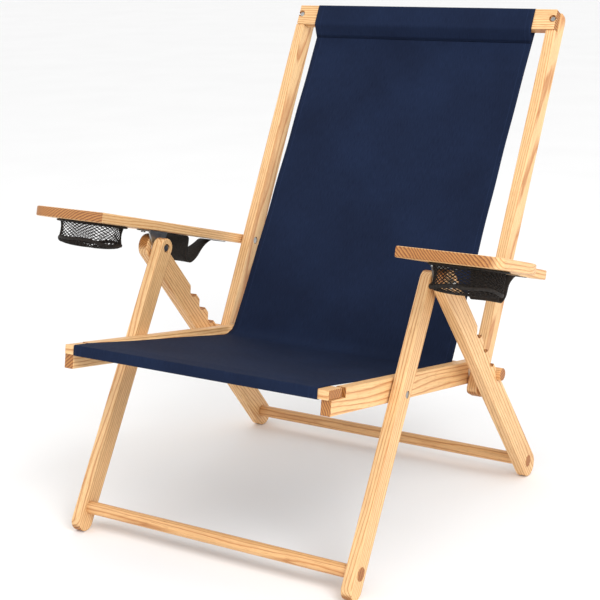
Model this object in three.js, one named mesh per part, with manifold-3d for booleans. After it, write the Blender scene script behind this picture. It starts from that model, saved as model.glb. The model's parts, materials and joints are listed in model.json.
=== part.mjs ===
// Folding wooden beach chair with a canvas sling seat.
// Millimetres, +Z up, +Y towards the back of the chair, so the sitter faces -Y. "left" is the -X side.
//
// Side view of the frame, with its four pivots:
//   hinge  the armrest bracket, the front leg and the rear leg share one bolt
//   arm    the armrest is bolted to the back rail
//   seat   the seat rail is bolted to the front leg
//   axle   the notch bar: it joins seat rails and back rails, and drops into the rear legs' notches
// hinge-arm-axle-seat is a parallelogram, so the back rails stay parallel to themselves as it folds.
import * as THREE from "three";
import { mergeVertices } from "three/addons/utils/BufferGeometryUtils.js";
import Module from "manifold-3d";

const wasm = await Module();
wasm.setup();

// ---- Driving dimensions ----

// Linkage, seen from the side
const hingeHeight = 482;
const seatLink = 313.4; // hinge to arm, and seat to axle
const seatLinkDrop = 8.4; // degrees below horizontal, towards the back
const legLink = 203; // hinge to seat, and arm to axle
const legLinkLean = 29.6; // degrees from vertical
const frontLegLean = 31.2;
const backLean = 28.4;
const seatSlope = 10.2;
const seatRailRise = 1; // how far the rail's middle line runs above the middle of its two pivots
const armSlope = 15.9;
const armRise = 41; // the board's middle plane above the hinge

// Layers across the chair
const insideFrontLegs = 558; // clear width between the front legs
const frontStock = 21; // thickness of front legs and back rails
const rearStock = 21;
const seatStock = 19.5;
const seatRailGap = 3; // seat rail to front leg
const legGap = 9; // front leg to rear leg
const armGap = 6; // back rail to armrest

// Members
const frontLegWidth = 38;
const rearLegWidth = 49;
const backRailWidth = 41;
const seatRailHeight = 43;
const footFlat = 1.2; // height sanded off under each round foot
const frontDowelSetBack = 27; // dowel to the middle of the round foot, along the leg
const rearDowelSetBack = 13;
const dowelDiameter = 24;
const notchBarDiameter = 24;
const notchBarOverhang = 9; // beyond the rear legs' outer faces
const ease = 2; // rounded edge of the timber

// Notches
const notchCount = 4;
const notchPitch = 45;
const notchPlay = 0.8; // notch radius less the bar's
const notchInset = 0.8; // the seated bar's middle, inside the rear leg's back edge

// Seat frame
const seatFrontReach = 219; // seat pivot to the rail's front end, along the rail
const frontBarDepth = 42;
const frontBarThick = 16.5;
const frontBarProud = 4.5; // ahead of the rails' ends
const frontBarInset = 3; // from the rails' outer faces
const slingSlot = 8; // opening behind the front bar for the sling's sleeve

// Back frame
const backTopReach = 530; // arm pivot to the rail's top end, along the rail
const backFootReach = 47; // axle to the rail's lower end, along the rail
const topBarHeight = 42;
const topBarThick = 20;
const topBarProud = 3; // ahead of the rails' front edges
const topBarInset = 3; // from the back rails' outer faces
const topBarDown = 1; // top bar's upper edge below the rails' ends

// Armrests
const armLength = 592;
const armWidth = 180;
const armCorner = 36; // radius of the outer front corner
const armShoulder = 136; // straight outer side, from the front edge
const armTailWidth = 38;
const armTailLength = 168;
const armThick = 19;
const armFrontReach = 173; // board's front edge ahead of the hinge, along the board
const cupHoleDiameter = 92;
const cupFromFront = 88;
const cupFromInner = 94;

// Cup pouch and pocket under each armrest
const pouchDiameter = 124;
const pouchRimDiameter = 138;
const pouchRimHeight = 4;
const pouchDepth = 50;
const pouchRound = 14; // radius between the pouch's side and its floor
const clothThick = 2;
const pocketWidth = 60;
const pocketFromInner = 7;
const pocketFront = 290; // front wall, from the board's front edge
const pocketFloor = 18;
const pocketDepth = 52;
const pocketBack = 388; // where the sloping wall meets the board again
const pocketFlange = 55;

// Sling
const slingWidth = 500;
const seatSlingWidth = 504;
const creaseAhead = 42; // crease in front of the axle
const creaseUp = 6; // crease above the axle

// Hardware
const boltDiameter = 8;
const boltPlay = 0.5; // hole radius less the bolt's
const headDiameter = 13;
const headHeight = 5;
const hingeRecess = 17;
const armRecess = 15;
const seatRecess = 13.6;
const recessDepth = 6.5;
const tabThick = 3;
const flangeThick = 3;
const flangeWidth = 34;
const flangeLength = 56;
const washerDiameter = 22;
const screwDiameter = 4.5;
const screwHeadDiameter = 9;
const topScrewRecess = 14.5;
const touch = 0.3; // gap between pieces that touch

// ---- Derived places ----

const rad = THREE.MathUtils.degToRad;
// A direction in the side view: lean is measured from vertical, towards the back.
const leaning = (degrees) => new THREE.Vector2(Math.sin(rad(degrees)), Math.cos(rad(degrees)));
const along = (from, direction, distance) => from.clone().addScaledVector(direction, distance);

const hinge = new THREE.Vector2(0, hingeHeight);
const linkBack = leaning(90 + seatLinkDrop);
const linkDown = leaning(180 + legLinkLean);
const arm = along(hinge, linkBack, seatLink);
const seat = along(hinge, linkDown, legLink);
const axle = along(seat, linkBack, seatLink);

const legInner = insideFrontLegs / 2;
const legOuter = legInner + frontStock;
const rearInner = legOuter + legGap;
const rearOuter = rearInner + rearStock;
const seatOuter = legInner - seatRailGap;
const seatInner = seatOuter - seatStock;
const armInner = legOuter + armGap;

const wood = { color: 0xe3b277, roughness: 0.55, metalness: 0 };
const canvas = { color: 0x1f2b43, roughness: 0.9, metalness: 0 };
const mesh = { color: 0x1b1816, roughness: 0.85, metalness: 0 };
const steel = { color: 0x9a9c9e, roughness: 0.35, metalness: 1 };
const nylon = { color: 0xd9d4c8, roughness: 0.5, metalness: 0 };

// ---- Solids ----

function solid(geometry) {
  const bare = geometry.clone();
  bare.deleteAttribute("normal");
  bare.deleteAttribute("uv");
  const merged = mergeVertices(bare, 1e-4);
  return new wasm.Manifold(
    new wasm.Mesh({
      numProp: 3,
      vertProperties: new Float32Array(merged.attributes.position.array),
      triVerts: new Uint32Array(merged.index.array),
    }),
  );
}

function geometryOf(body) {
  const made = body.getMesh();
  const geometry = new THREE.BufferGeometry();
  geometry.setAttribute("position", new THREE.BufferAttribute(made.vertProperties, 3));
  geometry.setIndex(new THREE.BufferAttribute(made.triVerts, 1));
  geometry.computeVertexNormals();
  return geometry;
}

// Local x, y, z become the chair's Y, Z, X: an outline in the side view is extruded across the chair.
const sideFrame = new THREE.Matrix4().set(0, 0, 1, 0, 1, 0, 0, 0, 0, 1, 0, 0, 0, 0, 0, 1);

// A side-view outline from one X to another, with rounded edges when round is over zero.
function plate(outline, fromX, toX, round = ease) {
  const low = Math.min(fromX, toX);
  const thick = Math.abs(toX - fromX);
  const options = { depth: thick - 2 * round, steps: 1, curveSegments: 12, bevelEnabled: round > 0 };
  if (round > 0) {
    options.bevelThickness = round;
    options.bevelSize = round;
    options.bevelOffset = -round;
    options.bevelSegments = 2;
  }
  const geometry = new THREE.ExtrudeGeometry(outline, options);
  geometry.translate(0, 0, low + round);
  geometry.applyMatrix4(sideFrame);
  return solid(geometry);
}

// A round bar or hole across the chair, centred on a side-view point.
function rod(centre, diameter, fromX, toX, sides = 24) {
  const length = Math.abs(toX - fromX);
  const geometry = new THREE.CylinderGeometry(diameter / 2, diameter / 2, length, sides);
  geometry.rotateZ(-Math.PI / 2);
  geometry.translate((fromX + toX) / 2, centre.x, centre.y);
  return solid(geometry);
}

// A dowel across the chair with its ends eased.
function dowel(centre, diameter, halfLength) {
  const r = diameter / 2;
  const profile = [
    new THREE.Vector2(0, -halfLength),
    new THREE.Vector2(r - 1, -halfLength),
    new THREE.Vector2(r, -halfLength + 1),
    new THREE.Vector2(r, halfLength - 1),
    new THREE.Vector2(r - 1, halfLength),
    new THREE.Vector2(0, halfLength),
  ];
  const geometry = new THREE.LatheGeometry(profile, 32);
  geometry.rotateZ(-Math.PI / 2);
  geometry.translate(0, centre.x, centre.y);
  return solid(geometry);
}

// A washer across the chair: a ring between two X values.
function washer(centre, outer, bore, fromX, toX) {
  const low = Math.min(fromX, toX);
  const ring = new THREE.Shape().absarc(0, 0, outer / 2, 0, 2 * Math.PI, false);
  ring.holes.push(new THREE.Path().absarc(0, 0, bore / 2, 0, 2 * Math.PI, true));
  const options = { depth: Math.abs(toX - fromX), bevelEnabled: false, curveSegments: 10 };
  const geometry = new THREE.ExtrudeGeometry(ring, options);
  geometry.translate(centre.x, centre.y, low);
  geometry.applyMatrix4(sideFrame);
  return solid(geometry);
}

// An outline given as corners in a local frame: origin, a direction for u, and v to its left.
function framed(origin, u, points) {
  const v = new THREE.Vector2(-u.y, u.x);
  return points.map(([a, b]) => origin.clone().addScaledVector(u, a).addScaledVector(v, b));
}

const shapeOf = (points) => new THREE.Shape(points);

// A member with round ends, between two centres.
function capsule(from, to, width) {
  const r = width / 2;
  const angle = Math.atan2(to.y - from.y, to.x - from.x);
  const shape = new THREE.Shape();
  shape.absarc(from.x, from.y, r, angle + Math.PI / 2, angle + 1.5 * Math.PI, false);
  shape.absarc(to.x, to.y, r, angle - Math.PI / 2, angle + Math.PI / 2, false);
  return shape;
}

// A strip of cloth that follows a side-view path, thick to its left.
function strip(path, thick) {
  const normals = path.map((p, i) => {
    const before = path[Math.max(i - 1, 0)];
    const after = path[Math.min(i + 1, path.length - 1)];
    const here = after.clone().sub(before).normalize();
    return new THREE.Vector2(-here.y, here.x);
  });
  const edge = path.map((p, i) => p.clone().addScaledVector(normals[i], thick));
  return shapeOf([...path, ...edge.reverse()]);
}

const root = new THREE.Group();
root.name = "beach_chair";

function add(name, body, look) {
  const made = new THREE.Mesh(geometryOf(body), new THREE.MeshStandardMaterial(look));
  made.name = name;
  root.add(made);
}

// Makes one piece for each side of the chair: side is -1 on the left and 1 on the right.
function onBothSides(name, look, make) {
  for (const [label, side] of [["left", -1], ["right", 1]]) add(`${name}_${label}`, make(side), look);
}

// ---- Front frame ----

const frontUp = leaning(frontLegLean);
const frontFoot = along(hinge, frontUp, -(hingeHeight - frontLegWidth / 2 + footFlat) / frontUp.y);
const frontDowel = along(frontFoot, frontUp, frontDowelSetBack);

// Sands a flat under a round foot, at ground level.
function grounded(body) {
  const below = new THREE.BoxGeometry(1200, 1600, 100).translate(0, 0, -50);
  return body.subtract(solid(below));
}

function frontLeg(side) {
  const inner = side * legInner;
  const outer = side * legOuter;
  const outlineWidth = frontLegWidth;
  let leg = plate(capsule(frontFoot, hinge, outlineWidth), inner, outer);
  const through = [inner - side, outer + side];
  leg = leg.subtract(rod(hinge, boltDiameter + 2 * boltPlay, ...through));
  leg = leg.subtract(rod(seat, boltDiameter + 2 * boltPlay, ...through));
  leg = leg.subtract(rod(frontDowel, dowelDiameter + 2 * touch, ...through));
  leg = leg.subtract(rod(hinge, hingeRecess, inner - side, inner + side * recessDepth));
  leg = leg.subtract(rod(seat, seatRecess, outer + side, outer - side * recessDepth));
  return grounded(leg);
}

onBothSides("front_leg", wood, frontLeg);
add("front_stretcher", dowel(frontDowel, dowelDiameter, legOuter + 0.5), { ...wood, color: 0xd9a05f });

// ---- Rear legs ----

// The leg leans so that the bar, where the linkage holds it, sits in the leg's back edge.
const toAxle = axle.clone().sub(hinge);
const offMiddle = rearLegWidth / 2 - notchInset;
const rearLegLean = THREE.MathUtils.radToDeg(Math.atan2(toAxle.x, -toAxle.y) - Math.asin(offMiddle / toAxle.length()));
const rearUp = leaning(-rearLegLean);
const rearFoot = along(hinge, rearUp, -(hingeHeight - rearLegWidth / 2 + footFlat) / rearUp.y);
const rearDowel = along(rearFoot, rearUp, rearDowelSetBack);

// The bar leaves a notch along its circle about the seat pivot, so the upper wall leans that way.
const liftDirection = new THREE.Vector2(-(axle.y - seat.y), axle.x - seat.x).normalize();

function notch(index) {
  const centre = along(axle, rearUp, index * notchPitch);
  const r = notchBarDiameter / 2 + notchPlay;
  const out = new THREE.Vector2(rearUp.y, -rearUp.x); // square to the leg, towards the back
  const lower = along(centre, rearUp, -r);
  const wall = new THREE.Vector2(-liftDirection.y, liftDirection.x);
  const upper = along(centre, wall, r);
  const angleOf = (point) => Math.atan2(point.y - centre.y, point.x - centre.x);
  const open = along(upper, liftDirection, 3 * r);
  const mouth = along(lower, out, 2 * r);
  const shape = new THREE.Shape();
  shape.moveTo(open.x, open.y);
  shape.lineTo(upper.x, upper.y);
  shape.absarc(centre.x, centre.y, r, angleOf(upper), angleOf(lower), false);
  shape.lineTo(mouth.x, mouth.y);
  return shape;
}

function rearLeg(side) {
  const inner = side * rearInner;
  const outer = side * rearOuter;
  let leg = plate(capsule(rearFoot, hinge, rearLegWidth), inner, outer);
  const through = [inner - side, outer + side];
  leg = leg.subtract(rod(hinge, boltDiameter + 2 * boltPlay, ...through));
  leg = leg.subtract(rod(rearDowel, dowelDiameter + 2 * touch, ...through));
  for (let i = 0; i < notchCount; i++) leg = leg.subtract(plate(notch(i), inner - 2 * side, outer + 2 * side, 0));
  return grounded(leg);
}

onBothSides("rear_leg", wood, rearLeg);
add("rear_stretcher", dowel(rearDowel, dowelDiameter, rearOuter + 0.5), { ...wood, color: 0xd9a05f });

// ---- Seat frame ----

const seatBack = leaning(90 + seatSlope);
const seatUp = new THREE.Vector2(-seatBack.y, seatBack.x);
const linkMiddle = seat.clone().lerp(axle, 0.5);
// The rail's middle line, measured from the point nearest the seat pivot.
const railMiddle = along(linkMiddle, seatUp, seatRailRise);
const onRail = (point) => along(railMiddle, seatBack, point.clone().sub(railMiddle).dot(seatBack));
const railFront = along(onRail(seat), seatBack, -seatFrontReach);
const railRear = onRail(axle);
const railLength = railRear.clone().sub(railFront).length();

// Corners given as distance behind the rail's front end and height above its lower edge.
const railCorners = (points) =>
  framed(railFront, seatBack, points.map(([s, h]) => [s, h - seatRailHeight / 2]));

const barSeatDepth = frontBarDepth - frontBarProud + slingSlot;

function seatRail(side) {
  const h = seatRailHeight;
  const shape = new THREE.Shape();
  const corners = railCorners([
    [0, 0],
    [railLength, 0],
    [railLength, h],
    [barSeatDepth, h],
    [barSeatDepth, h - frontBarThick - touch],
    [0, h - frontBarThick - touch],
  ]);
  const angle = Math.atan2(seatBack.y, seatBack.x);
  shape.moveTo(corners[0].x, corners[0].y);
  shape.lineTo(corners[1].x, corners[1].y);
  shape.absarc(railRear.x, railRear.y, h / 2, angle - Math.PI / 2, angle + Math.PI / 2, false);
  for (const corner of corners.slice(3)) shape.lineTo(corner.x, corner.y);
  const inner = side * seatInner;
  const outer = side * seatOuter;
  const through = [inner - side, outer + side];
  let rail = plate(shape, inner, outer, 1.5);
  rail = rail.subtract(rod(seat, boltDiameter + 2 * boltPlay, ...through));
  rail = rail.subtract(rod(seat, hingeRecess, inner - side, inner + side * recessDepth));
  rail = rail.subtract(rod(axle, notchBarDiameter + 2 * touch, ...through));
  rail = rail.subtract(barScrewHole(side, -1, seatRailHeight + 1));
  return rail.subtract(standing(barScrewX(side), barScrewFrom, -1, barScrewSunk, screwHeadDiameter + 2 * touch));
}

// The crease between seat and back, where the sling hangs by its own weight.
const crease = axle.clone().add(new THREE.Vector2(-creaseAhead, creaseUp));

// The front bar is screwed on from below: a hole square to the rail between two heights.
const barScrewFrom = 20; // behind the rail's front end
const barScrewSunk = 10; // depth of the screw head's bore in the rail's underside
const barScrewTop = seatRailHeight - 6; // the screw's point, inside the bar
const barScrewX = (side) => side * (seatInner + seatStock / 2);
function barScrewHole(side, low, high) {
  return standing(barScrewX(side), barScrewFrom, low, high, screwDiameter + 2 * touch);
}

// A cylinder square to the seat rails.
function standing(x, behind, low, high, diameter) {
  const [a, b] = railCorners([[behind, low], [behind, high]]);
  const geometry = new THREE.CylinderGeometry(diameter / 2, diameter / 2, high - low, 20);
  geometry.rotateX(Math.PI / 2 - rad(seatSlope));
  geometry.translate(x, (a.x + b.x) / 2, (a.y + b.y) / 2);
  return solid(geometry);
}

function seatFrontBar() {
  const low = seatRailHeight - frontBarThick;
  const outline = railCorners([
    [-frontBarProud, low],
    [frontBarDepth - frontBarProud, low],
    [frontBarDepth - frontBarProud, seatRailHeight],
    [-frontBarProud, seatRailHeight],
  ]);
  const end = seatOuter - frontBarInset;
  let bar = plate(shapeOf(outline), -end, end, 1.5);
  for (const side of [-1, 1]) bar = bar.subtract(barScrewHole(side, 0, barScrewTop + 1));
  return bar;
}

function seatBarScrew(side) {
  const x = barScrewX(side);
  const under = barScrewSunk - touch;
  const head = standing(x, barScrewFrom, under - 3, under, screwHeadDiameter);
  return standing(x, barScrewFrom, under - 1, barScrewTop, screwDiameter).add(head);
}

onBothSides("seat_rail", wood, seatRail);
add("seat_front_bar", seatFrontBar(), wood);
onBothSides("seat_bar_screw", steel, seatBarScrew);
add("notch_bar", dowel(axle, notchBarDiameter, rearOuter + notchBarOverhang), { ...wood, color: 0xd9a05f });
onBothSides("axle_washer", nylon, (side) =>
  washer(axle, 36, notchBarDiameter + 2 * touch, side * (seatOuter + touch), side * (legInner - touch)),
);

// Sleeve of cloth round a bar, from its corners: one closed loop.
function sleeve(corners, gap, width) {
  const middle = corners.reduce((sum, p) => sum.add(p), new THREE.Vector2()).divideScalar(corners.length);
  const grow = (by) =>
    corners.map((p) => {
      const away = p.clone().sub(middle);
      const u = corners[1].clone().sub(corners[0]).normalize();
      const v = new THREE.Vector2(-u.y, u.x);
      return p.clone()
        .addScaledVector(u, by * Math.sign(away.dot(u)))
        .addScaledVector(v, by * Math.sign(away.dot(v)));
    });
  const outer = plate(shapeOf(grow(gap + clothThick)), -width / 2, width / 2, 0);
  return outer.subtract(plate(shapeOf(grow(gap)), -width / 2 - 1, width / 2 + 1, 0));
}

const clothGap = 0.5;

function seatSling() {
  const low = seatRailHeight - frontBarThick;
  const corners = railCorners([
    [-frontBarProud, low],
    [frontBarDepth - frontBarProud, low],
    [frontBarDepth - frontBarProud, seatRailHeight],
    [-frontBarProud, seatRailHeight],
  ]);
  const front = railCorners([[frontBarDepth - frontBarProud, seatRailHeight + clothGap]])[0];
  const rear = crease.clone().add(new THREE.Vector2(-3, 1));
  const flat = strip([front, rear], clothThick);
  return sleeve(corners, clothGap, seatSlingWidth).add(
    plate(flat, -seatSlingWidth / 2, seatSlingWidth / 2, 0),
  );
}

add("seat_sling", seatSling(), canvas);

// ---- Back frame ----

const backUp = leaning(backLean);
const backFront = new THREE.Vector2(-backUp.y, backUp.x); // square to the rail, towards the sitter
const backMiddle = along(arm, backUp, 0);
const onBack = (point) => along(backMiddle, backUp, point.clone().sub(backMiddle).dot(backUp));
const backTop = along(onBack(arm), backUp, backTopReach);
const backFoot = along(onBack(axle), backUp, -backFootReach);
const backLength = backTop.clone().sub(backFoot).length();

// Corners given as distance above the rail's lower end and distance ahead of its middle line.
const backCorners = (points) => framed(backFoot, backUp, points);

const topBarTop = backLength - topBarDown;
const topBarFoot = topBarTop - topBarHeight;
const topBarFront = backRailWidth / 2 + topBarProud;
const topBarCorners = backCorners([
  [topBarFoot, topBarFront - topBarThick],
  [topBarTop, topBarFront - topBarThick],
  [topBarTop, topBarFront],
  [topBarFoot, topBarFront],
]);
const topScrew = backCorners([[topBarTop - 19, topBarFront]])[0];
const topScrewX = legInner + 11;

// A cylinder square to the back rails' front edges, from a depth behind the bar's front face.
function backScrew(x, near, far, diameter) {
  const length = far - near;
  const geometry = new THREE.CylinderGeometry(diameter / 2, diameter / 2, length, 20);
  geometry.rotateX(-rad(backLean));
  const centre = along(topScrew, backFront, -(near + far) / 2);
  geometry.translate(x, centre.x, centre.y);
  return solid(geometry);
}

function backRail(side) {
  const w = backRailWidth / 2;
  const round = 14;
  const notchDepth = topBarFront - topBarThick - touch;
  const corners = backCorners([
    [round, -w],
    [backLength - round, -w],
    [backLength, -w + round],
    [backLength, notchDepth],
    [topBarFoot - touch, notchDepth],
    [topBarFoot - touch, w],
    [round, w],
    [0, w - round],
    [0, -w + round],
  ]);
  const shape = new THREE.Shape();
  const knee = backCorners([[backLength, -w], [0, w], [0, -w]]);
  shape.moveTo(corners[0].x, corners[0].y);
  shape.lineTo(corners[1].x, corners[1].y);
  shape.quadraticCurveTo(knee[0].x, knee[0].y, corners[2].x, corners[2].y);
  for (const corner of corners.slice(3, 7)) shape.lineTo(corner.x, corner.y);
  shape.quadraticCurveTo(knee[1].x, knee[1].y, corners[7].x, corners[7].y);
  shape.lineTo(corners[8].x, corners[8].y);
  shape.quadraticCurveTo(knee[2].x, knee[2].y, corners[0].x, corners[0].y);
  const inner = side * legInner;
  const outer = side * legOuter;
  const through = [inner - side, outer + side];
  let rail = plate(shape, inner, outer);
  rail = rail.subtract(rod(arm, boltDiameter + 2 * boltPlay, ...through));
  rail = rail.subtract(rod(arm, armRecess, inner - side, inner + side * recessDepth));
  rail = rail.subtract(rod(axle, notchBarDiameter + 2 * boltPlay, ...through));
  return rail.subtract(backScrew(side * topScrewX, 0, 36, screwDiameter + 2 * touch));
}

function topBar() {
  const end = legOuter - topBarInset;
  let bar = plate(shapeOf(topBarCorners), -end, end);
  for (const side of [-1, 1]) {
    const x = side * topScrewX;
    bar = bar.subtract(backScrew(x, -1, 40, screwDiameter + 2 * touch));
    bar = bar.subtract(backScrew(x, -1, 6, topScrewRecess));
  }
  return bar;
}

function topBarScrew(side) {
  const x = side * topScrewX;
  return backScrew(x, 4, 34, screwDiameter).add(backScrew(x, 3, 5.7, screwHeadDiameter));
}

onBothSides("back_rail", wood, backRail);
add("top_bar", topBar(), wood);
onBothSides("top_bar_screw", steel, topBarScrew);

function backSling() {
  const start = along(topBarCorners[0], backFront, -clothGap);
  const end = crease.clone().add(new THREE.Vector2(0, 4));
  const flat = strip([along(start, backUp, 2), end], clothThick);
  return sleeve(topBarCorners, clothGap, slingWidth).add(plate(flat, -slingWidth / 2, slingWidth / 2, 0));
}

add("back_sling", backSling(), canvas);

// ---- Armrests ----

const armBack = leaning(90 + armSlope);
const armUp = new THREE.Vector2(-armBack.y, armBack.x);
// The board's front edge, on its middle plane.
const armFront = along(along(hinge, armUp, armRise), armBack, -armFrontReach);
const armPoint = (behind, above) => framed(armFront, armBack, [[behind, above]])[0];

// Stands a shape drawn on the board (x outboard of the inner edge, y behind the front) in place.
function onBoard(geometry, side, above) {
  geometry.translate(0, 0, above);
  if (side < 0) geometry.scale(-1, 1, 1);
  geometry.rotateX(-rad(armSlope));
  geometry.translate(side * armInner, armFront.x, armFront.y);
  const body = geometry.index ? geometry.toNonIndexed() : geometry;
  if (side < 0) turnFaces(body);
  return solid(body);
}

// Mirroring turns every face inside out, so its corners swap back.
function turnFaces(geometry) {
  const p = geometry.attributes.position;
  for (let i = 0; i < p.count; i += 3) {
    const swap = new THREE.Vector3().fromBufferAttribute(p, i + 1);
    p.setXYZ(i + 1, p.getX(i + 2), p.getY(i + 2), p.getZ(i + 2));
    p.setXYZ(i + 2, swap.x, swap.y, swap.z);
  }
}

function armOutline() {
  const waist = armLength - armTailLength;
  const sweep = (waist - armShoulder) * 0.42;
  const round = armTailWidth * 0.6;
  const shape = new THREE.Shape();
  shape.moveTo(0, 0);
  shape.lineTo(armWidth - armCorner, 0);
  shape.absarc(armWidth - armCorner, armCorner, armCorner, -Math.PI / 2, 0, false);
  shape.lineTo(armWidth, armShoulder);
  shape.bezierCurveTo(armWidth, armShoulder + sweep, armTailWidth, waist - sweep, armTailWidth, waist);
  shape.lineTo(armTailWidth, armLength - round);
  shape.quadraticCurveTo(armTailWidth, armLength, armTailWidth - round, armLength);
  shape.lineTo(0, armLength);
  return shape;
}

// A board or slab with eased edges, between two heights from the armrest's middle plane.
function slab(shape, low, high, round, side, segments = 10) {
  const options = { depth: high - low - 2 * round, steps: 1, curveSegments: segments, bevelEnabled: round > 0 };
  if (round > 0) {
    Object.assign(options, {
      bevelThickness: round,
      bevelSize: round,
      bevelOffset: -round,
      bevelSegments: 2,
    });
  }
  return onBoard(new THREE.ExtrudeGeometry(shape, options), side, low + round);
}

const circle = (x, y, diameter) => new THREE.Shape().absarc(x, y, diameter / 2, 0, 2 * Math.PI, false);
const armBoltDepth = 40; // into the board's inner edge

function armBoard(side) {
  const half = armThick / 2;
  let board = slab(armOutline(), -half, half, 2.5, side, 20);
  const hole = slab(circle(cupFromInner, cupFromFront, cupHoleDiameter), -half - 1, half + 1, 0, side, 24);
  board = board.subtract(hole);
  const bore = rod(arm, boltDiameter + 2 * touch, side * (armInner - 1), side * (armInner + armBoltDepth + 1));
  board = board.subtract(bore);
  for (const place of flangeScrews) {
    const pilot = circle(place[0], place[1], screwDiameter + 2 * touch);
    board = board.subtract(slab(pilot, -half - 1, half - 4, 0, side));
  }
  return board;
}

// Where the hinge lies along the board, and the two flange screws beside it.
const hingeBehind = hinge.clone().sub(armFront).dot(armBack);
const flangeScrews = [-1, 1].map((end) => [flangeWidth * 0.62, hingeBehind + end * flangeLength * 0.32]);

function hingeBracket(side) {
  const under = -armThick / 2 - touch;
  const tabInner = legOuter + (legGap - tabThick) / 2;
  const fromBoard = tabInner - armInner;
  const flange = new THREE.Shape();
  flange.moveTo(fromBoard, hingeBehind - flangeLength / 2);
  flange.lineTo(flangeWidth - 6, hingeBehind - flangeLength / 2);
  flange.lineTo(flangeWidth, hingeBehind - flangeLength / 2 + 6);
  flange.lineTo(flangeWidth, hingeBehind + flangeLength / 2 - 6);
  flange.lineTo(flangeWidth - 6, hingeBehind + flangeLength / 2);
  flange.lineTo(fromBoard, hingeBehind + flangeLength / 2);
  let bracket = slab(flange, under - flangeThick, under, 0, side);
  const top = under - 0.5;
  const half = flangeLength / 2;
  const tab = new THREE.Shape();
  const foot = washerDiameter / 2;
  const corners = [
    armPoint(hingeBehind + half, top),
    armPoint(hingeBehind - half, top),
    armPoint(hingeBehind - half, top - 5),
  ];
  tab.moveTo(corners[0].x, corners[0].y);
  for (const corner of corners.slice(1)) tab.lineTo(corner.x, corner.y);
  tab.absarc(hinge.x, hinge.y, foot, Math.PI - rad(armSlope), 2 * Math.PI - rad(armSlope), false);
  const last = armPoint(hingeBehind + half, top - 5);
  tab.lineTo(last.x, last.y);
  bracket = bracket.add(plate(tab, side * tabInner, side * (tabInner + tabThick), 0));
  const bore = boltDiameter + 2 * boltPlay;
  bracket = bracket.subtract(rod(hinge, bore, side * (tabInner - 1), side * (tabInner + tabThick + 1)));
  for (const place of flangeScrews) {
    const hole = circle(place[0], place[1], screwDiameter + 2 * touch);
    bracket = bracket.subtract(slab(hole, under - flangeThick - 1, under + 1, 0, side));
  }
  return bracket;
}

function flangeScrew(side, place) {
  const under = -armThick / 2 - touch - flangeThick;
  const shank = slab(circle(...place, screwDiameter), under - 1, under + 16, 0, side);
  return shank.add(slab(circle(...place, screwHeadDiameter), under - touch - 2.5, under - touch, 0, side));
}

// Half the outline of a round cup, from the middle of its floor to the top of its side.
function cupOutline(radius, floor, top, round) {
  const turn = new THREE.Path().absarc(radius - round, floor + round, round, -Math.PI / 2, 0, false);
  return [new THREE.Vector2(0, floor), ...turn.getPoints(3), new THREE.Vector2(radius, top)];
}

// The net pouch under the cup hole: a round cup of cloth, open at the top, with a bound rim.
function cupPouch(side) {
  const top = -armThick / 2 - touch;
  const floor = top - pouchDepth;
  const radius = pouchDiameter / 2;
  const rim = pouchRimDiameter / 2;
  const rimFoot = top - pouchRimHeight;
  const turned = (profile) => {
    const geometry = new THREE.LatheGeometry(profile, 28);
    geometry.rotateX(Math.PI / 2);
    geometry.translate(cupFromInner, cupFromFront, 0);
    return onBoard(geometry, side, 0);
  };
  const bag = turned([
    ...cupOutline(radius, floor, rimFoot, pouchRound),
    new THREE.Vector2(rim, rimFoot),
    new THREE.Vector2(rim, top),
    new THREE.Vector2(0, top),
  ]);
  const hollow = turned([
    ...cupOutline(radius - clothThick, floor + clothThick, top + 1, pouchRound - clothThick),
    new THREE.Vector2(0, top + 1),
  ]);
  return bag.subtract(hollow);
}

// The fabric pocket: a hanging trough, open at both sides, with a flange to the board at each end.
function pocket(side) {
  const top = -armThick / 2 - touch - clothThick;
  const path = [
    [pocketFront - pocketFlange, top],
    [pocketFront, top],
    [pocketFront + 1, top - pocketDepth],
    [pocketFront + pocketFloor, top - pocketDepth - 2],
    [pocketBack, top],
    [pocketBack + pocketFlange, top],
  ].map(([behind, above]) => armPoint(behind, above));
  const from = armInner + pocketFromInner;
  return plate(strip(path, clothThick), side * from, side * (from + pocketWidth), 0);
}

onBothSides("armrest", wood, armBoard);
onBothSides("hinge_bracket", steel, hingeBracket);
for (const [index, place] of flangeScrews.entries()) {
  const end = index === 0 ? "front" : "rear";
  onBothSides(`bracket_screw_${end}`, steel, (side) => flangeScrew(side, place));
}
onBothSides("cup_pouch", mesh, cupPouch);
onBothSides("pocket", mesh, pocket);

// ---- Bolts and washers ----

// A bolt across the chair: head towards the middle when inward is true.
function bolt(centre, headX, side, length, inward) {
  const way = inward ? side : -side;
  const head = rod(centre, headDiameter, headX, headX + way * headHeight);
  return head.add(rod(centre, boltDiameter, headX + way * (headHeight - 0.5), headX + way * length));
}

const headIn = recessDepth - headHeight - touch; // head below the surface

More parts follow.
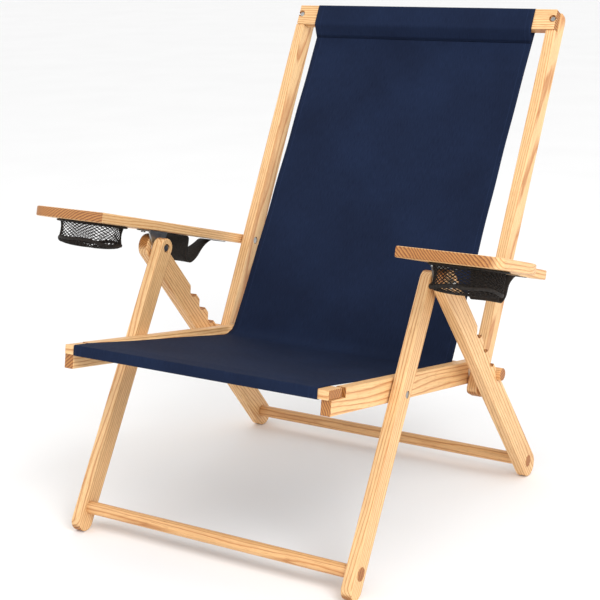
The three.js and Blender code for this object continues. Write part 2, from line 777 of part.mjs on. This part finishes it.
onBothSides("hinge_bolt", steel, (side) => {
  const headX = side * (legInner + headIn);
  return bolt(hinge, headX, side, rearOuter - legInner - headIn + 9, true);
});
onBothSides("hinge_nut", steel, (side) => {
  const nut = rod(hinge, 14, side * (rearOuter + 2.2), side * (rearOuter + 9.5), 6);
  return nut.subtract(rod(hinge, boltDiameter + 2 * touch, side * rearOuter, side * (rearOuter + 9.2)));
});
onBothSides("nut_washer", steel, (side) =>
  washer(hinge, 20, boltDiameter + 2 * touch, side * (rearOuter + touch), side * (rearOuter + 1.9)),
);
onBothSides("hinge_washer", nylon, (side) =>
  washer(hinge, washerDiameter, boltDiameter + 2 * touch, side * (legOuter + touch), side * (legOuter + 2.7)),
);
onBothSides("leg_washer", nylon, (side) =>
  washer(hinge, washerDiameter, boltDiameter + 2 * touch, side * (rearInner - 2.7), side * (rearInner - touch)),
);
onBothSides("seat_bolt", steel, (side) => {
  const headX = side * (legOuter - headIn);
  return bolt(seat, headX, side, legOuter - seatInner - headIn - 1.5, false);
});
onBothSides("seat_washer", nylon, (side) =>
  washer(seat, washerDiameter, boltDiameter + 2 * touch, side * (seatOuter + touch), side * (legInner - touch)),
);
onBothSides("arm_bolt", steel, (side) => {
  const headX = side * (legInner + headIn);
  return bolt(arm, headX, side, armInner + armBoltDepth - legInner - headIn, true);
});
onBothSides("arm_washer", nylon, (side) =>
  washer(arm, washerDiameter, boltDiameter + 2 * touch, side * (legOuter + touch), side * (armInner - touch)),
);

// ---- Frame ----

// The chair stands on the ground, with its origin under the middle of its box.
const box = new THREE.Box3().setFromObject(root);
root.position.y = -(box.min.y + box.max.y) / 2;

export default root;
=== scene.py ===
# Folding wooden beach chair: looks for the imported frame.
# Metres, +Z up, +Y towards the back of the chair; "left" is the -X side.
import json
import math

import bpy
from mathutils import Matrix, Vector


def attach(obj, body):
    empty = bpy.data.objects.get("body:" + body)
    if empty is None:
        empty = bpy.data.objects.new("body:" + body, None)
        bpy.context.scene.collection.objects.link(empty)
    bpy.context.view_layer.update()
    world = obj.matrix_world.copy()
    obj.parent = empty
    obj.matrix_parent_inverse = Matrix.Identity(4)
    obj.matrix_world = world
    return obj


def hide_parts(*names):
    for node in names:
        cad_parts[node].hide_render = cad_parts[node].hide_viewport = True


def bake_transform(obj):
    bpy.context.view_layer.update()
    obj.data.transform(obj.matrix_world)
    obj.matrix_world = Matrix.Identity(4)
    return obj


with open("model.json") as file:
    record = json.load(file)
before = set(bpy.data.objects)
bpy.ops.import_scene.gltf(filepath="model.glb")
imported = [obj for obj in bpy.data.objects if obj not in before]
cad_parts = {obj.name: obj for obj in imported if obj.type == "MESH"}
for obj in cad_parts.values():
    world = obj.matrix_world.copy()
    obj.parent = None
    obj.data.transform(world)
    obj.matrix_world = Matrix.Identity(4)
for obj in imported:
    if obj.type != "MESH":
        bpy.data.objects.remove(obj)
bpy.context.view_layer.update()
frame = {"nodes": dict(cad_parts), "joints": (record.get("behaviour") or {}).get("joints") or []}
nodes = frame["nodes"]
pivots = {joint["name"]: Vector(joint["pos_m"]) for joint in frame["joints"]}

# ---- Lengths and angles of the frame ----

mm = 0.001
front_leg_lean = 31.2
rear_leg_lean = 38.9
back_lean = 28.4
seat_slope = 10.2
arm_slope = 15.9

back_panel_width = 500 * mm
seat_panel_width = 504 * mm
cloth_thick = 1.4 * mm
cloth_gap = 0.9 * mm  # bar to cloth
stitch_pitch = 3.2 * mm
thread_half = 0.45 * mm  # half the width of a row of stitches
hem_rows = (0.2365, 0.2465)  # rows of stitches, from the middle of the sling
crease = pivots["back_fold"] + Vector((0, -42 * mm, 6 * mm))


def leaning(degrees):
    """A direction in the side view, measured from vertical, towards the back."""
    return Vector((0, math.sin(math.radians(degrees)), math.cos(math.radians(degrees))))


# ---- Camera ----

target = Vector((0, -0.0892, 0.4035))
azimuth, elevation, roll = (math.radians(a) for a in (32.095, 14.859, -1.163))
distance = 2.6951

back_axis = Vector(
    (
        math.sin(azimuth) * math.cos(elevation),
        -math.cos(azimuth) * math.cos(elevation),
        math.sin(elevation),
    )
)
level = Vector((math.cos(azimuth), math.sin(azimuth), 0))
upright = back_axis.cross(level)
right_axis = level * math.cos(roll) + upright * math.sin(roll)
up_axis = upright * math.cos(roll) - level * math.sin(roll)

camera_data = bpy.data.cameras.new("camera")
camera_data.sensor_width = 36
camera_data.lens = 86.15
camera = bpy.data.objects.new("camera", camera_data)
bpy.context.scene.collection.objects.link(camera)
camera.matrix_world = Matrix.Translation(target + back_axis * distance) @ Matrix(
    (right_axis, up_axis, back_axis)
).transposed().to_4x4()
bpy.context.scene.camera = camera

# ---- Materials ----


def srgb(code):
    """A linear colour from a six-digit display colour."""
    parts = [int(code[i : i + 2], 16) / 255 for i in (0, 2, 4)]
    linear = [c / 12.92 if c <= 0.04045 else ((c + 0.055) / 1.055) ** 2.4 for c in parts]
    return (*linear, 1)


class Graph:
    """A material's node tree, with short calls for the nodes used here."""

    def __init__(self, name):
        self.material = bpy.data.materials.new(name)
        self.material.use_nodes = True
        self.tree = self.material.node_tree
        self.shader = self.tree.nodes["Principled BSDF"]

    def node(self, kind, inputs=(), **settings):
        made = self.tree.nodes.new("ShaderNode" + kind)
        for key, value in settings.items():
            setattr(made, key, value)
        for key, value in dict(inputs).items():
            self.put(made.inputs[key], value)
        return made

    def put(self, socket, value):
        if isinstance(value, bpy.types.NodeSocket):
            self.tree.links.new(value, socket)
        else:
            socket.default_value = value

    def math(self, operation, a, b=0.0):
        return self.node("Math", {0: a, 1: b}, operation=operation).outputs[0]

    def ramp(self, factor, stops):
        made = self.node("ValToRGB", {"Fac": factor})
        elements = made.color_ramp.elements
        while len(elements) < len(stops):
            elements.new(0.5)
        for element, (place, colour) in zip(elements, stops):
            element.position = place
            element.color = colour
        return made.outputs["Color"]

    def mix(self, factor, a, b, blend="MIX"):
        made = self.node("Mix", data_type="RGBA", blend_type=blend)
        self.put(made.inputs["Factor"], factor)
        self.put(made.inputs["A"], a)
        self.put(made.inputs["B"], b)
        return made.outputs["Result"]

    def noise(self, place, scale, detail):
        made = self.node("TexNoise", {"Vector": place, "Scale": scale, "Detail": detail})
        return made.outputs["Fac"]

    def shade(self, colour, by):
        """The colour multiplied by another."""
        return self.mix(1.0, colour, by, "MULTIPLY")

    def dashes(self, value, pitch):
        """1 on each stitch of a row that runs along value, and 0 between them."""
        wave = self.math("SINE", self.math("MULTIPLY", value, 2 * math.pi / pitch))
        return self.math("GREATER_THAN", wave, -0.4)

    def near(self, value, place, reach):
        """1 where value is within reach of a place."""
        away = self.math("ABSOLUTE", self.math("SUBTRACT", value, place))
        return self.math("LESS_THAN", away, reach)

    def bump(self, height, strength, depth):
        made = self.node("Bump", {"Height": height, "Strength": strength, "Distance": depth})
        self.put(self.shader.inputs["Normal"], made.outputs["Normal"])

    def finish(self, colour, roughness, **inputs):
        self.put(self.shader.inputs["Base Color"], colour)
        self.put(self.shader.inputs["Roughness"], roughness)
        for key, value in inputs.items():
            self.put(self.shader.inputs[key.replace("_", " ")], value)
        return self.material


def grey(value):
    return (value, value, value, 1)


def wood(name, turn, seed, early, late):
    """Oiled ash with its grain along one direction. turn rotates that direction onto Z."""
    g = Graph(name)
    place = g.node("TexCoord").outputs["Object"]
    turned = g.node("Mapping", {"Vector": place, "Rotation": turn}).outputs[0]
    # The tree's own axis lies outside the piece, so that its faces show long lines and its ends show arcs.
    pith = (0.05 + 0.017 * (seed % 5), 0.07 - 0.013 * (seed % 7), 0.31 * seed)
    placed = g.node("Mapping", {"Vector": turned, "Location": pith, "Scale": (1, 1, 0.16)}).outputs[0]
    sway = g.node("TexNoise", {"Vector": placed, "Scale": 9.0, "Detail": 2.0})
    swayed = g.mix(0.035, placed, sway.outputs["Color"], "ADD")
    rings = g.node(
        "TexWave",
        {"Vector": swayed, "Scale": 68.0, "Distortion": 1.5, "Detail": 2.0, "Detail Scale": 1.4},
        wave_type="RINGS",
        rings_direction="Z",
        wave_profile="SAW",
    ).outputs["Fac"]
    streak_place = g.node("Mapping", {"Vector": turned, "Scale": (1, 1, 0.035)}).outputs[0]
    streaks = g.noise(streak_place, 420.0, 4.0)
    pores = g.noise(streak_place, 1500.0, 1.0)
    broad = g.noise(placed, 16.0, 3.0)

    light, dark = srgb(early), srgb(late)
    ring_colour = g.ramp(rings, [(0.0, light), (0.55, light), (0.86, dark), (1.0, light)])
    colour = g.mix(0.8, g.mix(0.5, light, dark), ring_colour)
    colour = g.shade(colour, g.ramp(streaks, [(0.3, grey(0.86)), (0.68, grey(1.05))]))
    colour = g.shade(colour, g.ramp(broad, [(0.3, (0.93, 0.88, 0.82, 1)), (0.7, (1.03, 1.02, 1.0, 1))]))
    colour = g.shade(colour, g.ramp(pores, [(0.30, (0.74, 0.62, 0.5, 1)), (0.40, grey(1.0))]))
    # End grain drinks more oil, so it is browner.
    facing = g.node("TexCoord").outputs["Normal"]
    facing = g.node("Mapping", {"Vector": facing, "Rotation": turn}, vector_type="NORMAL").outputs[0]
    ends = g.math("ABSOLUTE", g.node("SeparateXYZ", {"Vector": facing}).outputs["Z"])
    ends = g.ramp(ends, [(0.55, grey(0.0)), (0.8, grey(1.0))])
    end_tone = g.ramp(rings, [(0.3, (0.6, 0.41, 0.22, 1)), (0.85, (0.34, 0.2, 0.09, 1))])
    colour = g.mix(ends, colour, g.shade(colour, end_tone))
    relief = g.math("ADD", g.math("MULTIPLY", rings, 0.4), g.math("MULTIPLY", pores, 0.6))
    g.bump(relief, 0.22, 0.25 * mm)
    rough = g.ramp(streaks, [(0.3, grey(0.62)), (0.7, grey(0.46))])
    return g.finish(colour, rough, Coat_Weight=0.06, Coat_Roughness=0.35)


def weave(g, pitch):
    """The UV's separate values, and the height of a plain weave with the same pitch both ways."""
    uv = g.node("TexCoord").outputs["UV"]
    split = g.node("SeparateXYZ", {"Vector": uv})
    turn = 2 * math.pi / pitch
    across = g.math("SINE", g.math("MULTIPLY", split.outputs["X"], turn))
    length = g.math("SINE", g.math("MULTIPLY", split.outputs["Y"], turn))
    return split, g.math("MULTIPLY", g.math("ADD", g.math("MULTIPLY", across, length), 1.0), 0.5)


def canvas(seams):
    """Navy canvas. Its UV is in metres: X across from the middle, Y along the sling, as the seams are."""
    g = Graph("navy_canvas")
    split, threads = weave(g, 1.1 * mm)
    across = g.math("ABSOLUTE", split.outputs["X"])
    length = split.outputs["Y"]
    uv = g.node("TexCoord").outputs["UV"]
    slubs_place = g.node("Mapping", {"Vector": uv, "Scale": (900, 60, 1)}).outputs[0]
    slubs = g.noise(slubs_place, 1.0, 3.0)
    cloud = g.noise(uv, 7.0, 4.0)
    # Two rows of stitches along each side hem.
    rows = 0.0
    for from_middle in hem_rows:
        rows = g.math("ADD", g.near(across, from_middle, thread_half), rows)
    stitch = g.math("MULTIPLY", g.dashes(length, stitch_pitch), rows)
    # One row across the sling at each seam.
    across_dashes = g.dashes(across, stitch_pitch)
    for seam in seams:
        row = g.math("MULTIPLY", g.near(length, seam, thread_half), across_dashes)
        stitch = g.math("MAXIMUM", stitch, row)
    colour = g.ramp(cloud, [(0.3, srgb("121d35")), (0.7, srgb("17243f"))])
    colour = g.shade(colour, g.ramp(slubs, [(0.3, grey(0.84)), (0.7, grey(1.16))]))
    colour = g.shade(colour, g.ramp(threads, [(0.0, grey(0.8)), (1.0, grey(1.08))]))
    colour = g.mix(g.math("MULTIPLY", stitch, 0.55), colour, srgb("2c3a5c"))
    height = g.math("ADD", threads, g.math("MULTIPLY", stitch, 1.5))
    g.bump(height, 0.35, 0.3 * mm)
    rough = g.ramp(slubs, [(0.3, grey(0.86)), (0.7, grey(0.74))])
    return g.finish(colour, rough, Specular_IOR_Level=0.12)


def net_cloth(name, tone):
    """Nearly black polyester yarn, with a fine twist."""
    g = Graph(name)
    place = g.node("TexCoord").outputs["Object"]
    twist_inputs = {"Vector": place, "Scale": 420.0, "Distortion": 2.0}
    twist = g.node("TexWave", twist_inputs, bands_direction="DIAGONAL")
    fuzz = g.noise(place, 260.0, 4.0)
    colour = g.ramp(fuzz, [(0.3, srgb(tone)), (0.75, srgb("2c2622"))])
    g.bump(twist.outputs["Fac"], 0.4, 0.3 * mm)
    rough = g.ramp(fuzz, [(0.3, grey(0.8)), (0.7, grey(0.62))])
    return g.finish(colour, rough, Specular_IOR_Level=0.25)


def metal(name):
    g = Graph(name)
    place = g.node("TexCoord").outputs["Object"]
    cloud = g.noise(place, 120.0, 5.0)
    scratches_place = g.node("Mapping", {"Vector": place, "Scale": (40, 900, 900)}).outputs[0]
    scratches = g.noise(scratches_place, 1.0, 2.0)
    colour = g.ramp(cloud, [(0.3, srgb("8f9190")), (0.7, srgb("b9bab8"))])
    g.bump(scratches, 0.12, 0.1 * mm)
    return g.finish(colour, g.ramp(cloud, [(0.3, grey(0.48)), (0.7, grey(0.3))]), Metallic=1.0)


def nylon():
    g = Graph("nylon")
    place = g.node("TexCoord").outputs["Object"]
    cloud = g.noise(place, 90.0, 4.0)
    colour = g.ramp(cloud, [(0.3, srgb("cfc8ba")), (0.7, srgb("e4dfd3"))])
    g.bump(cloud, 0.08, 0.1 * mm)
    return g.finish(colour, g.ramp(cloud, [(0.3, grey(0.55)), (0.7, grey(0.42))]))


def lean_turn(degrees):
    return (math.radians(degrees), 0, 0)


across_turn = (0, math.radians(-90), 0)
grain = {
    "front_leg": lean_turn(front_leg_lean),
    "rear_leg": lean_turn(-rear_leg_lean),
    "back_rail": lean_turn(back_lean),
    "seat_rail": lean_turn(90 + seat_slope),
    "armrest": lean_turn(90 + arm_slope),
    "front_stretcher": across_turn,
    "rear_stretcher": across_turn,
    "seat_front_bar": across_turn,
    "top_bar": across_turn,
    "notch_bar": across_turn,
}
metal_parts = ("bolt", "nut", "screw", "bracket")


def give(obj, material):
    obj.data.materials.clear()
    obj.data.materials.append(material)


steel_look, nylon_look = metal("zinc_plate"), nylon()
for seed, name in enumerate(sorted(nodes)):
    stem = name.removesuffix("_left").removesuffix("_right")
    if stem in grain:
        dowel = stem in ("front_stretcher", "rear_stretcher", "notch_bar")
        early, late = ("efbf86", "bd7c42") if dowel else ("f3cc96", "c07b3f")
        give(nodes[name], wood("ash_" + name, grain[stem], seed, early, late))
    elif stem == "nut_washer" or any(part in stem for part in metal_parts):
        give(nodes[name], steel_look)
    elif stem.endswith("washer"):
        give(nodes[name], nylon_look)

# ---- Mesh helpers ----


def mesh_piece(name, points, faces, material, uvs=None):
    mesh = bpy.data.meshes.new(name)
    mesh.from_pydata([tuple(p) for p in points], [], faces)
    if uvs is not None:
        layer = mesh.uv_layers.new(name="UVMap")
        for loop in mesh.loops:
            layer.data[loop.index].uv = uvs[loop.vertex_index]
    mesh.materials.append(material)
    for polygon in mesh.polygons:
        polygon.use_smooth = True
    obj = bpy.data.objects.new(name, mesh)
    bpy.context.scene.collection.objects.link(obj)
    return obj


def settle(obj):
    """Makes the modifiers' result the object's own mesh."""
    bpy.context.view_layer.update()
    result = obj.evaluated_get(bpy.context.evaluated_depsgraph_get())
    made = bpy.data.meshes.new_from_object(result)
    obj.modifiers.clear()
    obj.data = made


def thicken(obj, thickness):
    shell = obj.modifiers.new("thickness", "SOLIDIFY")
    shell.thickness = thickness
    shell.offset = 0
    settle(obj)


def grid_faces(rows, columns):
    faces = []
    for r in range(rows - 1):
        for c in range(columns - 1):
            here = r * columns + c
            faces.append((here, here + 1, here + columns + 1, here + columns))
    return faces


def resample(path, step):
    """Points at an even step along a path, and each point's distance along it."""
    spaced, distances, travelled = [path[0]], [0.0], 0.0
    for a, b in zip(path, path[1:]):
        count = max(1, round((b - a).length / step))
        for i in range(1, count + 1):
            spaced.append(a.lerp(b, i / count))
            distances.append(travelled + (b - a).length * i / count)
        travelled += (b - a).length
    return spaced, distances


def rounded(path, radius, steps=5):
    """The path with each inner corner turned into an arc-like curve."""
    made = [path[0]]
    for before, corner, after in zip(path, path[1:], path[2:]):
        near = min(radius, (corner - before).length * 0.45)
        far = min(radius, (after - corner).length * 0.45)
        start = corner + (before - corner).normalized() * near
        end = corner + (after - corner).normalized() * far
        for i in range(steps + 1):
            t = i / steps
            made.append(start * (1 - t) ** 2 + corner * 2 * t * (1 - t) + end * t**2)
    made.append(path[-1])
    return made


def bar_corners(node, ahead, above):
    """A bar's corners in the side view, grown by the cloth's gap.

    In order: front low, front high, rear high, rear low.
    """
    points = [v.co for v in nodes[node].data.vertices]
    front = max(p.dot(ahead) for p in points) + cloth_gap
    rear = min(p.dot(ahead) for p in points) - cloth_gap
    high = max(p.dot(above) for p in points) + cloth_gap
    low = min(p.dot(above) for p in points) - cloth_gap
    pairs = ((front, low), (front, high), (rear, high), (rear, low))
    return [ahead * a + above * b for a, b in pairs]


# ---- Sling ----

seat_ahead = -leaning(90 + seat_slope)
seat_above = leaning(seat_slope)
back_above = leaning(back_lean)
back_ahead = -leaning(90 + back_lean)

f_low, f_high, r_high, r_low = bar_corners("seat_front_bar", seat_ahead, seat_above)
t_front_low, t_front_high, t_rear_high, t_rear_low = bar_corners("top_bar", back_ahead, back_above)

low_point = crease + Vector((0, 0, 3.2 * mm))
seam_drop = 22 * mm  # the sleeve is sewn to the panel this far below the top bar
end_inset = 2 * mm  # from a cut end to its row of stitches
seat_sag = 7 * mm
back_sag = 6 * mm


def sling():
    """One piece of canvas: round the front bar, along the seat, up the back and round the top bar."""
    around_front = rounded([r_low, f_low, f_high, r_high + seat_ahead * 2 * mm], 3 * mm)
    sewn = t_rear_low - back_above * seam_drop + back_ahead * 1.6 * mm
    around_top = rounded([t_rear_low, t_rear_high, t_front_high, t_front_low, sewn], 4 * mm)
    panel = rounded([around_front[-1], low_point, t_rear_low], 26 * mm, 8)
    # The panel goes up behind the top bar. The sleeve comes down in front of it, back to the panel.
    path = around_front + panel[1:-1] + [t_rear_low - back_above * 1 * mm] + around_top[1:]
    spaced, distances = resample(path, 9 * mm)
    columns = 57
    points, uvs = [], []
    for p, v in zip(spaced, distances):
        rise = (p.z - low_point.z) / (t_rear_low.z - low_point.z)
        on_seat = p.y < low_point.y
        width = seat_panel_width if on_seat else back_panel_width
        free = 0.0
        if on_seat and p.y > r_high.y:
            s = (p.y - r_high.y) / (low_point.y - r_high.y)
            free = math.sin(math.pi * min(1, s))
        elif not on_seat and 0 < rise < 1:
            free = math.sin(math.pi * min(1, rise)) ** 0.8
        waist = 1 - 0.012 * free
        for c in range(columns):
            x = (c / (columns - 1) - 0.5) * width * waist
            side = abs(2 * c / (columns - 1) - 1)
            belly = 1 - side**2.2
            # The cloth sags between its bars and puckers a little along its hems.
            if on_seat:
                sag = Vector((0, 0, -seat_sag * free * belly))
                ripple = 0.7 * mm * math.sin(x * 46 + v * 17) * free
                offset = sag + seat_above * ripple
            else:
                sag = back_ahead * (-back_sag * free * belly)
                ripple = 0.9 * mm * math.sin(v * 38 + 1.3 * math.sin(x * 9)) * free * side**4
                long_fold = 0.8 * mm * math.sin(x * 33 + 0.7 * math.sin(v * 5)) * free
                offset = sag + back_ahead * (ripple + long_fold)
            points.append(Vector((x, p.y, p.z)) + offset)
            uvs.append((x, v))
    length = distances[-1]
    panel_top = length - sum((b - a).length for a, b in zip(around_top, around_top[1:]))
    look = canvas([end_inset, panel_top - seam_drop, length - end_inset])
    obj = mesh_piece("sling", points, grid_faces(len(spaced), columns), look, uvs)
    thicken(obj, cloth_thick)
    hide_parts("seat_sling", "back_sling")
    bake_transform(obj)
    return obj, length


sling_piece, sling_length = sling()

# ---- Net pouches ----

pouch_look = net_cloth("net_yarn", "181513")
binding_look = net_cloth("binding_tape", "141210")
arm_up = leaning(arm_slope)
arm_back = leaning(90 + arm_slope)
side_share = 0.62  # of the way from a pouch's rim to the middle of its floor, the part that is its side
rim_inset = 3.2 * mm  # from the CAD piece's outer edge to the middle of the bound rim
rim_drop = 2.2 * mm  # and from its top
bag_inset = 7 * mm  # from its outer edge to the net
net_thread = 1.9 * mm


def on_arm(centre, x, behind, above):
    return centre + Vector((x, 0, 0)) + arm_back * behind + arm_up * above


def tube_ring(name, centres, radius, material):
    """A closed tube through points, for a bound rim or seam. radius is outwards, then upright."""
    count, sides = len(centres), 8
    middle = sum(centres, Vector()) / count
    points = []
    for i, p in enumerate(centres):
        ahead = (centres[(i + 1) % count] - centres[i - 1]).normalized()
        out = (p - middle).normalized()
        side = ahead.cross(out).normalized()
        out = side.cross(ahead)
        for k in range(sides):
            a = 2 * math.pi * k / sides
            points.append(p + out * math.cos(a) * radius[0] + side * math.sin(a) * radius[1])
    faces = []
    for i in range(count):
        here, after = i * sides, ((i + 1) % count) * sides
        for k in range(sides):
            turned = (k + 1) % sides
            faces.append((here + k, here + turned, after + turned, after + k))
    return mesh_piece(name, points, faces, material)


def pouch(side_name):
    """A net bag hung from a bound rim, with a seam round its floor."""
    node = "cup_pouch_" + side_name
    points = [v.co for v in nodes[node].data.vertices]
    up_values = [p.dot(arm_up) for p in points]
    back_values = [p.dot(arm_back) for p in points]
    x_values = [p.x for p in points]
    top, floor = max(up_values), min(up_values)
    behind = (min(back_values) + max(back_values)) / 2
    middle_x = (min(x_values) + max(x_values)) / 2
    rim = (max(x_values) - min(x_values)) / 2
    centre = Vector((middle_x, 0, 0)) + arm_back * behind + arm_up * top
    depth = top - floor
    bag = rim - bag_inset
    cells, rows = 36, 10
    net_points, seed = [], 1.7 if side_name == "left" else 0.4

    def bag_point(angle, drop):
        # drop runs from 0 at the rim to 1 at the floor's middle
        down = min(1, drop / side_share)
        radius = bag * (1 - 0.05 * math.sin(math.pi * down)) if drop < side_share else bag
        slack = 2.2 * mm * math.sin(3 * angle + seed) + 1.3 * mm * math.sin(7 * angle - 2 * seed)
        radius += slack * math.sin(math.pi * down) - 1.5 * mm
        hem = 3.0 * mm * math.sin(2 * angle + seed) + 1.6 * mm * math.sin(5 * angle + 2 * seed)
        height = -1.8 * mm - (depth - 15 * mm + hem) * down
        if drop > side_share:
            inward = (drop - side_share) / (1 - side_share)
            radius *= math.cos(inward * math.pi / 2) ** 0.8 if inward < 1 else 0
            height -= (11 * mm - hem) * math.sin(inward * math.pi / 2)
        return on_arm(centre, radius * math.cos(angle), radius * math.sin(angle), height)

    for r in range(rows * 2 - 1):
        drop = 0.96 * r / (rows * 2 - 2)
        for c in range(cells):
            angle = 2 * math.pi * (c + (0.5 if r % 2 else 0)) / cells
            net_points.append(bag_point(angle, drop))
    faces = []
    for r in range(rows * 2 - 3):
        for c in range(cells):
            here, below = r * cells + c, (r + 2) * cells + c
            shift = 0 if r % 2 else -1
            left = (r + 1) * cells + (c + shift) % cells
            right = (r + 1) * cells + (c + shift + 1) % cells
            faces.append((here, left, below, right))
    net = mesh_piece("cup_net_" + side_name, net_points, faces, pouch_look)
    threads = net.modifiers.new("threads", "WIREFRAME")
    threads.thickness = net_thread
    threads.use_replace = True
    threads.use_even_offset = False
    settle(net)
    body = "armrest_" + side_name
    turns = [2 * math.pi * i / 72 for i in range(72)]
    reach = rim - rim_inset
    rim_line = [on_arm(centre, reach * math.cos(a), reach * math.sin(a), -rim_drop) for a in turns]
    seam_line = [bag_point(a, side_share) for a in turns]
    rim_band = tube_ring("cup_rim_" + side_name, rim_line, (3 * mm, 2 * mm), binding_look)
    seam_band = tube_ring("cup_seam_" + side_name, seam_line, (1.8 * mm, 3.2 * mm), binding_look)
    for piece in (net, rim_band, seam_band):
        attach(piece, body)
    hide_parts(node)
    around = 2 * math.pi * bag
    return net, rim_band, seam_band, (around, depth + bag)


for side_name in ("left", "right"):
    net, rim_band, seam_band, cut = pouch(side_name)

# ---- Pockets ----

flange = 55 * mm  # the length tacked to the board at each end
floor_length = 17 * mm
mesh_thick = 1.2 * mm
mesh_inset = 1.2 * mm  # from the CAD piece's top and bottom to the middle of the cloth
strap_loss = 0.5  # the share of its width that the cloth has lost at its rear end


def pocket(side_name):
    """A hanging trough of mesh cloth, tacked to the board at both ends. It narrows behind its floor."""
    node = "pocket_" + side_name
    points = [v.co for v in nodes[node].data.vertices]
    x_low, x_high = min(p.x for p in points), max(p.x for p in points)
    heights = [p.dot(arm_up) for p in points]
    backs = [p.dot(arm_back) for p in points]
    top, low = max(heights) - mesh_inset, min(heights) + mesh_inset
    front, rear = min(backs), max(backs)
    corners = [
        (front, top),
        (front + flange, top),
        (front + flange + 1 * mm, low + 4 * mm),
        (front + flange + 1 * mm + floor_length, low),
        (rear - flange, top),
        (rear, top),
    ]
    line = rounded([arm_back * b + arm_up * h for b, h in corners], 9 * mm)
    spaced, distances = resample(line, 4 * mm)
    floor_at = flange + (top - low) + floor_length
    columns = 13
    grid, uvs = [], []
    for p, v in zip(spaced, distances):
        for c in range(columns):
            across = c / (columns - 1)
            hang = max(0.0, min(1.0, (top - p.dot(arm_up)) / (top - low)))
            pull = 2.5 * mm * hang * math.sin(math.pi * across)
            past_floor = (v - floor_at) / (0.5 * (distances[-1] - floor_at))
            past_floor = max(0.0, min(1.0, past_floor))
            eased = past_floor * past_floor * (3 - 2 * past_floor)
            narrow = 1 - 0.06 * hang - strap_loss * eased
            x = x_low + (x_high - x_low) * (0.5 + (across - 0.5) * narrow)
            grid.append(Vector((x, p.y, p.z)) + arm_back * pull * 0.4 + arm_up * (0.35 * pull))
            uvs.append((x, v))
    faces = grid_faces(len(spaced), columns)
    cloth = mesh_piece("pocket_cloth_" + side_name, grid, faces, pocket_look, uvs)
    thicken(cloth, mesh_thick)
    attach(cloth, "armrest_" + side_name)
    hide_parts(node)


def mesh_cloth():
    g = Graph("pocket_mesh")
    _, threads = weave(g, 2.4 * mm)
    fuzz = g.noise(g.node("TexCoord").outputs["Object"], 300.0, 3.0)
    colour = g.ramp(fuzz, [(0.3, srgb("1a1614")), (0.7, srgb("302a26"))])
    colour = g.shade(colour, g.ramp(threads, [(0.35, grey(0.45)), (0.7, grey(1.2))]))
    g.bump(threads, 0.6, 0.6 * mm)
    rough = g.ramp(threads, [(0.3, grey(0.85)), (0.7, grey(0.65))])
    return g.finish(colour, rough, Specular_IOR_Level=0.25)


pocket_look = mesh_cloth()
for side_name in ("left", "right"):
    pocket(side_name)

# ---- Floor and light ----


def studio():
    g = Graph("floor_white")
    place = g.node("TexCoord").outputs["Object"]
    cloud = g.noise(place, 2.0, 2.0)
    look = g.finish(g.ramp(cloud, [(0.3, grey(0.93)), (0.7, grey(0.95))]), 0.9)
    reach = 30.0
    signs = ((-1, -1), (1, -1), (1, 1), (-1, 1))
    corners = [(a * reach, b * reach, -1 * mm) for a, b in signs]
    mesh_piece("floor", corners, [(0, 1, 2, 3)], look)
    world = bpy.data.worlds.new("studio")
    world.use_nodes = True
    world.node_tree.nodes["Background"].inputs["Color"].default_value = grey(1.0)
    world.node_tree.nodes["Background"].inputs["Strength"].default_value = 1.0
    bpy.context.scene.world = world


def softbox(name, place, size, power):
    light = bpy.data.lights.new(name, "AREA")
    light.shape = "SQUARE"
    light.size = size
    light.energy = power
    obj = bpy.data.objects.new(name, light)
    bpy.context.scene.collection.objects.link(obj)
    obj.location = place
    obj.rotation_mode = "QUATERNION"
    obj.rotation_quaternion = (Vector(place) - target).to_track_quat("Z", "Y")


studio()
softbox("key", (2.6, -1.6, 2.6), 1.8, 70)
softbox("fill", (-2.8, -2.2, 2.0), 2.2, 16)
bpy.context.scene.view_settings.view_transform = "Standard"
